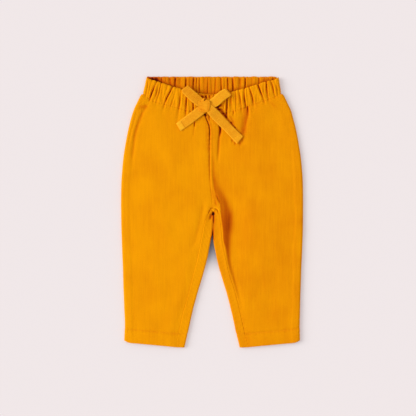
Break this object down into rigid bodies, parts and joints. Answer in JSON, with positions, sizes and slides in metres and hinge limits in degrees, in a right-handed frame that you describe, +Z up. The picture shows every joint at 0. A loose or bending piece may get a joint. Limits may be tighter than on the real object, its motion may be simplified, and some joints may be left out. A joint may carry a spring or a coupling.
{
  "type": "baby trousers",
  "caption": "Baby's pull-on corduroy trousers laid flat, with a gathered elastic waist, a flat tape drawstring tied in a bow and turned-up hems.",
  "frame": {"origin": "middle of the laid-out garment, on the surface that it lies on", "axes": "+Y from the hems towards the waist, +X to the right of the front as it is seen from above, +Z up, away from the surface"},
  "size_m": [0.2682, 0.4, 0.0127],
  "materials": {
    "cord_left": "soft needlecord, golden mustard",
    "cord_right": "soft needlecord, golden mustard",
    "casing": "gathered needlecord",
    "tape": "flat woven tape, finely ribbed across"
  },
  "bodies": {
    "root": {"front_left": "cord_left", "back_left": "cord_left", "front_right": "cord_right", "back_right": "cord_right", "waistband_front": "casing", "waistband_back": "casing", "drawstring_knot": "tape", "drawstring_loop_left": "tape", "drawstring_loop_right": "tape", "drawstring_tail_left": "tape", "drawstring_tail_right": "tape"}
  },
  "joints": []
}
